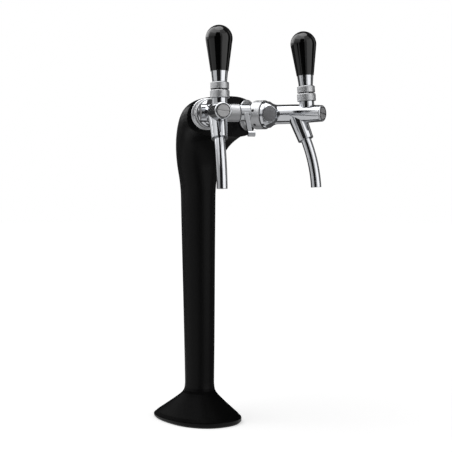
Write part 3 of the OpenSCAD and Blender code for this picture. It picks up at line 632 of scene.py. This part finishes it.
FINISH_HELPERS = (place_group, smears_on, grain_on, grey, blend_colours, add_painted_shade, bumped)
print("finish helpers:", ", ".join(helper.__name__ for helper in FINISH_HELPERS))

# %% [markdown]
# ### Black powder coat
#
# The casting is powder coated: nearly black, satin, with a fine orange peel that softens every reflection
# into a broad band. The sheen could be the shader's own gloss, but an exported model keeps that as one
# number. Here it is a clear coat, whose weight may change over the surface, so that a film of dust can
# take it away. The film lies on the flat top of the hood, and low down, where nobody wipes, on slopes
# too: the foot is dull.

# %% Black paint
FOOT_TOP = 0.07             # m, below it the film of dust lies on slopes too
WIPED_FROM = 0.11           # m, above it only what lies nearly flat stays dusty
FILM_ON_SLOPES = 0.4        # Film Start where slopes hold the film too
FILM_DULLS = 0.84           # share of the sheen that the film takes away
ORANGE_PEEL = 0.00003       # m
THICK_COAT = (0.0013, 0.0013, 0.0014)
THIN_COAT = (0.002, 0.002, 0.0021)
DUST_COLOUR = (0.22, 0.22, 0.21)


def film_start(tree):
    """Film Start of the dust by the height above the counter."""
    place = add_node(tree, "ShaderNodeNewGeometry").outputs["Position"]
    return ramp(tree, upward(tree, place), FOOT_TOP, WIPED_FROM, FILM_ON_SLOPES, FILM_ON_FLAT)


def black_paint():
    constants = {"Specular IOR Level": 0.0, "Coat IOR": 1.2, "Coat Roughness": 0.4}
    finish, tree, shader = new_finish("black powder coat", constants)
    smears = smears_on(tree, patches=14.0, clean=0.37, smeared=0.44)
    peel = grain_on(tree, grains=1100.0, coarse=0.5)
    dust = place_group(tree, DUST, {"Amount": 0.012, "Film Start": film_start(tree)})
    coat = blend_colours(tree, smears["Mask"], THICK_COAT, THIN_COAT)
    feed(tree, shader, {
        "Base Color": blend_colours(tree, dust["Mask"], coat, DUST_COLOUR),
        "Roughness": smears["Roughness"],
        "Coat Weight": maths(tree, "MULTIPLY_ADD", dust["Film"], -FILM_DULLS, 1.0),
        "Normal": bumped(tree, peel, ORANGE_PEEL, CAST_EDGES),
    })
    return finish


BLACK_PAINT = black_paint()
print("finish:", BLACK_PAINT.name)

# %% [markdown]
# ### Polished chrome
#
# The taps are cast, polished and plated. The plate shows the room as a sharp picture, at a little over half
# its brightness. The polishing leaves a faint waviness, and fingers leave smears that only the reflections
# show. One smooth metal would look like a mirror ball, so the waviness is a very shallow bump of a large
# grain.

# %% Chrome
CLEAN_PLATE = (0.54, 0.55, 0.57)
SMEARED_PLATE = (0.48, 0.49, 0.51)
# painted shade: the plate turns this dark where the Ambient Occlusion node finds a joint
JOINT_PAINTED_SHADE = {"reach": 0.0025, "amount": 0.85, "shade_colour": (0.03, 0.03, 0.031)}
POLISHING_WAVES = 0.00006   # m


def polished_chrome():
    finish, tree, shader = new_finish("polished chrome", {"Metallic": 1.0})
    smears = smears_on(tree, patches=45.0, clean=0.045, smeared=0.13)
    waves = grain_on(tree, grains=160.0, coarse=0.5)
    plate = blend_colours(tree, smears["Mask"], CLEAN_PLATE, SMEARED_PLATE)
    feed(tree, shader, {
        "Base Color": add_painted_shade(tree, plate, **JOINT_PAINTED_SHADE),
        "Roughness": smears["Roughness"],
        "Normal": bumped(tree, waves, POLISHING_WAVES, FINE_EDGES),
    })
    return finish


CHROME = polished_chrome()
print("finish:", CHROME.name)

# %% [markdown]
# ### Brushed flange
#
# The flange against the hood is brushed, not polished: it shows the room as one soft grey. It is the same
# plate over a rougher metal, so it needs more roughness, a fine grain and the same painted shade in its
# joint.

# %% Brushed chrome
BRUSHED_HOLLOWS = (0.5, 0.505, 0.52)
BRUSHED_RIDGES = (0.7, 0.705, 0.72)
BRUSH_MARKS = 0.00003       # m


def brushed_chrome():
    finish, tree, shader = new_finish("brushed chrome", {"Metallic": 1.0})
    grain = grain_on(tree, grains=1800.0, coarse=0.3)
    smears = smears_on(tree, patches=50.0, clean=0.3, smeared=0.4)
    plate = blend_colours(tree, grain, BRUSHED_HOLLOWS, BRUSHED_RIDGES)
    feed(tree, shader, {
        "Base Color": add_painted_shade(tree, plate, **JOINT_PAINTED_SHADE),
        "Roughness": smears["Roughness"],
        "Normal": bumped(tree, grain, BRUSH_MARKS, FINE_EDGES),
    })
    return finish


BRUSHED_CHROME = brushed_chrome()
print("finish:", BRUSHED_CHROME.name)

# %% [markdown]
# ### Satin chrome
#
# The rings and the gland are blasted before they are plated, so a fine grain scatters the light and the
# bands of the room run into each other. The small pits are darker than the high spots, and the painted
# shade reaches further out of the joints than on polished metal.

# %% Satin chrome
SATIN_PITS = (0.35, 0.355, 0.365)
SATIN_PEAKS = (0.54, 0.545, 0.555)
# painted shade in the joints and spanner holes, with a longer reach than on polished chrome
RING_PAINTED_SHADE = {"reach": 0.004, "amount": 0.95, "shade_colour": (0.02, 0.02, 0.021)}
BLASTING = 0.00005          # m


def satin_chrome():
    finish, tree, shader = new_finish("satin chrome", {"Metallic": 1.0})
    grain = grain_on(tree, grains=2600.0, coarse=0.35)
    smears = smears_on(tree, patches=60.0, clean=0.42, smeared=0.52)
    plate = blend_colours(tree, grain, SATIN_PITS, SATIN_PEAKS)
    feed(tree, shader, {
        "Base Color": add_painted_shade(tree, plate, **RING_PAINTED_SHADE),
        "Roughness": smears["Roughness"],
        "Normal": bumped(tree, grain, BLASTING, FINE_EDGES),
    })
    return finish


SATIN_CHROME = satin_chrome()
print("finish:", SATIN_CHROME.name)

# %% [markdown]
# ### Gloss black grip
#
# The grips are moulded in black plastic and polished. They keep a sharp picture of the soft boxes, and
# hair-fine marks from use make it a little duller in patches. The colour itself hardly shows, so the
# finish is nearly all gloss: a low roughness that varies, over a mould that is never quite even.

# %% Grip plastic
CLEAN_BLACK = (0.0004, 0.0004, 0.0005)
WORN_BLACK = (0.0012, 0.0012, 0.0013)
MOULD_WAVES = 0.00004       # m


def gloss_black():
    finish, tree, shader = new_finish("gloss black plastic", {"IOR": 1.42})
    smears = smears_on(tree, patches=40.0, clean=0.07, smeared=0.16)
    waves = grain_on(tree, grains=120.0, coarse=0.5)
    feed(tree, shader, {
        "Base Color": blend_colours(tree, smears["Mask"], CLEAN_BLACK, WORN_BLACK),
        "Roughness": smears["Roughness"],
        "Normal": bumped(tree, waves, MOULD_WAVES, FINE_EDGES),
    })
    return finish


GRIP_BLACK = gloss_black()
print("finish:", GRIP_BLACK.name)

# %% [markdown]
# ### Plain metals inside and under the tap
#
# Brass nuts, plated steel and the grey caps are all turned or rolled metals. They differ in colour and
# roughness, so one function makes them: grain for the tool marks, smears for the oxide.

# %% Plain metals
TOOL_MARKS = 0.00002        # m


def plain_metal(name, dark, light, clean, smeared, grains):
    finish, tree, shader = new_finish(name, {"Metallic": 1.0})
    smears = smears_on(tree, patches=70.0, clean=clean, smeared=smeared)
    marks = grain_on(tree, grains=grains, coarse=0.3)
    feed(tree, shader, {
        "Base Color": blend_colours(tree, smears["Mask"], light, dark),
        "Roughness": smears["Roughness"],
        "Normal": bumped(tree, marks, TOOL_MARKS, FINE_EDGES),
    })
    print("finish:", name)
    return finish


GREY_METAL = plain_metal("grey turned metal", dark=(0.2, 0.2, 0.205), light=(0.27, 0.27, 0.275),
                         clean=0.3, smeared=0.42, grains=1500.0)
PALE_METAL = plain_metal("pale turned metal", dark=(0.38, 0.38, 0.385), light=(0.5, 0.5, 0.505),
                         clean=0.3, smeared=0.42, grains=1500.0)
BRASS = plain_metal("turned brass", dark=(0.55, 0.42, 0.2), light=(0.74, 0.6, 0.3),
                    clean=0.2, smeared=0.38, grains=1800.0)
STEEL = plain_metal("plated steel", dark=(0.42, 0.43, 0.45), light=(0.56, 0.57, 0.59),
                    clean=0.24, smeared=0.4, grains=1300.0)

# %% [markdown]
# ### Rubber and moulded plastics
#
# Gaskets and seals are matt black rubber, and the valve pieces are moulded. Both scatter light from a fine
# skin, with a little more colour where the skin is worn. They differ only in values, so one function makes
# them. The seal round each front plug is made nearly black, with hardly any gloss, as painted shade: it
# stands for the shade in the groove round the plug, as a thin black line.

# %% Rubber and plastics
SKIN_WEAR = 0.12            # roughness that worn places gain
RUBBER_SKIN = 0.00004       # m
MOULDED_SKIN = 0.00002      # m


def moulded(name, dark, light, roughness, grains, depth=MOULDED_SKIN, shine=0.4):
    finish, tree, shader = new_finish(name, {"Specular IOR Level": shine})
    smears = smears_on(tree, patches=80.0, clean=roughness, smeared=roughness + SKIN_WEAR)
    skin = grain_on(tree, grains=grains, coarse=0.4)
    feed(tree, shader, {
        "Base Color": blend_colours(tree, smears["Mask"], dark, light),
        "Roughness": smears["Roughness"],
        "Normal": bumped(tree, skin, depth, FINE_EDGES),
    })
    print("finish:", name)
    return finish


RUBBER = moulded("black rubber", dark=grey(0.016), light=grey(0.028),
                 roughness=0.72, grains=1600.0, depth=RUBBER_SKIN)
WHITE_PLASTIC = moulded("white plastic", dark=(0.74, 0.74, 0.71), light=(0.8, 0.8, 0.77),
                        roughness=0.36, grains=900.0)
GREY_PLASTIC = moulded("grey plastic", dark=(0.5, 0.51, 0.51), light=(0.57, 0.58, 0.58),
                       roughness=0.4, grains=900.0)
CLEAR_TUBE = moulded("clear tube", dark=(0.78, 0.8, 0.82), light=(0.84, 0.86, 0.87),
                     roughness=0.18, grains=500.0)
# painted shade: nearly black and without gloss, for the shade of the groove round each front plug
SEAL_PAINTED_SHADE = moulded("seal in painted shade", dark=grey(0.002), light=grey(0.004),
                   roughness=0.6, grains=1600.0, shine=0.05)

# %% [markdown]
# ## Dress the CAD pieces
#
# Each CAD piece gets its finish by its name without the side: two pieces of one kind share a finish, as
# they would come from one plating bath. The finishes are listed by the record's material slots, so the
# list says both what a piece looks like and which slot it takes.

# %% Finishes by piece
FINISHES = {
    "black_paint": BLACK_PAINT,
    "chrome": CHROME,
    "satin_chrome": SATIN_CHROME,
    "black_plastic": GRIP_BLACK,
    "grey_metal": GREY_METAL,
    "brass": BRASS,
    "steel": STEEL,
    "rubber": RUBBER,
    "white_plastic": WHITE_PLASTIC,
    "grey_plastic": GREY_PLASTIC,
    "clear_plastic": CLEAR_TUBE,
}
OWN_FINISH = {              # pieces that differ a little from the rest of their slot
    "tap_flange": BRUSHED_CHROME,
    "front_plug": PALE_METAL,
}
PIECES_BY_SLOT = {
    "black_paint": ("tower_body",),
    "chrome": ("tap_flange", "shank", "tap_body", "regulator_lever", "handle_ferrule", "spout"),
    "satin_chrome": ("coupling_ring", "regulator_gland", "bonnet_ring", "skirt_ring"),
    "black_plastic": ("handle_grip",),
    "grey_metal": ("regulator_cap", "front_plug"),
    "brass": ("shank_nut", "regulator_shaft"),
    "steel": ("base_plate", "plate_screws", "regulator_screw", "tap_lever"),
    "rubber": ("base_gasket", "flange_gasket", "tail_washer", "piston_seals"),
    "white_plastic": ("compensator", "valve_piston"),
    "grey_plastic": ("line_coupler",),
    "clear_plastic": ("beer_line",),
}
SLOT_OF = {piece: slot for slot, pieces in PIECES_BY_SLOT.items() for piece in pieces}


def kind_of(name):
    """A node's name without its side."""
    for side in SIDES:
        name = name.removesuffix("_" + side)
    return name


for name, piece in nodes.items():
    kind = kind_of(name)
    slot = SLOT_OF[kind]
    piece.data.materials.clear()
    piece.data.materials.append(OWN_FINISH.get(kind, FINISHES[slot]))
print(len(nodes), "pieces dressed in", len(FINISHES) + len(OWN_FINISH), "finishes")

# %% [markdown]
# ## Seal rings round the front plugs
#
# In the nose of each tap a grey plug closes the valve bore, and a thin black ring seals it. The ring is
# fine trim that the CAD model leaves out, so it is made here as a mesh of its own: a round section
# carried round the tap's axis. The plug's own mesh says where its front face lies and how wide it is, so
# the ring sits on the plug. Its nearly black finish is painted shade, the shade of the groove round the
# plug.

# %% Find the plug's front
TAP_SPLAY = math.radians(23.1)  # of each tap from straight ahead, as in the CAD
FRONT_LAYER = 0.0005        # m behind the front face, where the rim's points lie
UP = Vector((0, 0, 1))


def plug_front(side):
    """Centre of the plug's front face, its radius, and the directions out of it and across it."""
    sign = -1 if side == "left" else 1
    out = Vector((sign * math.sin(TAP_SPLAY), -math.cos(TAP_SPLAY), 0))
    across = Vector((-out.y, out.x, 0))
    points = [v.co for v in nodes["front_plug_" + side].data.vertices]
    depth = max(p.dot(out) for p in points)
    rim = [p for p in points if depth - p.dot(out) < FRONT_LAYER]
    aside = [p.dot(across) for p in rim]
    heights = [p.z for p in rim]
    middle = (max(aside) + min(aside)) / 2 * across + depth * out
    middle.z = (max(heights) + min(heights)) / 2
    return middle, (max(heights) - min(heights)) / 2, out, across


for side in SIDES:
    print("front plug", side, "at", [round(MM * v, 1) for v in plug_front(side)[0]], "mm")

# %% [markdown]
# ### The ring itself
#
# A torus could be added and turned, but then its place depends on a rotation that is easy to get wrong.
# Here each point of the section is placed straight from the plug's centre and directions.

# %% Plug seals
import bmesh

SEAL_WIRE = 0.00065         # m, radius of the section
SEAL_SINK = 0.0003          # m behind the plug's front face
SEAL_STEPS = 72
WIRE_STEPS = 10


def add_seal(side):
    middle, radius, out, across = plug_front(side)
    shape = bmesh.new()
    rings = []
    for i in range(SEAL_STEPS):
        turn = 2 * math.pi * i / SEAL_STEPS
        away = math.cos(turn) * across + math.sin(turn) * UP
        ring = []
        for j in range(WIRE_STEPS):
            roll = 2 * math.pi * j / WIRE_STEPS
            point = middle + (radius + SEAL_WIRE * math.cos(roll)) * away
            ring.append(shape.verts.new(point + (SEAL_WIRE * math.sin(roll) - SEAL_SINK) * out))
        rings.append(ring)
    for i in range(SEAL_STEPS):
        here = rings[i]
        following = rings[(i + 1) % SEAL_STEPS]
        for j in range(WIRE_STEPS):
            k = (j + 1) % WIRE_STEPS
            shape.faces.new((here[j], here[k], following[k], following[j]))
    bmesh.ops.recalc_face_normals(shape, faces=shape.faces)
    mesh = bpy.data.meshes.new("plug_shade_seal_" + side)
    shape.to_mesh(mesh)
    shape.free()
    mesh.shade_smooth()
    mesh.materials.append(SEAL_PAINTED_SHADE)
    seal = add_object("plug_shade_seal_" + side, mesh)
    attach(seal, "tower")
    print("seal", side, "of radius", round(MM * radius, 2), "mm")


for side in SIDES:
    add_seal(side)

# %% [markdown]
# ## Smooth shading
#
# The CAD meshes are flat triangles. Smooth shading lets the light run over the turned pieces, and an
# angle limit keeps real edges crisp. The limit is a modifier, so the meshes themselves stay as they came.

# %% Shade the pieces
EDGE_ANGLE = math.radians(32)


def shade_by_angle(piece):
    """Smooth where neighbouring faces turn by less than the edge angle, sharp elsewhere."""
    bpy.ops.object.select_all(action="DESELECT")
    piece.select_set(True)
    bpy.context.view_layer.objects.active = piece
    bpy.ops.object.shade_auto_smooth(angle=EDGE_ANGLE)


for piece in nodes.values():
    shade_by_angle(piece)
print("shaded", len(nodes), "pieces, with edges over", round(math.degrees(EDGE_ANGLE)), "degrees kept")

# %% [markdown]
# ## Measure and finish
#
# The dressed part has to stay within the CAD part's box, so the size of its own box is printed.

# %% Measure the visual box
low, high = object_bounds()
print("visual box in mm:", [round(MM * v) for v in high - low])
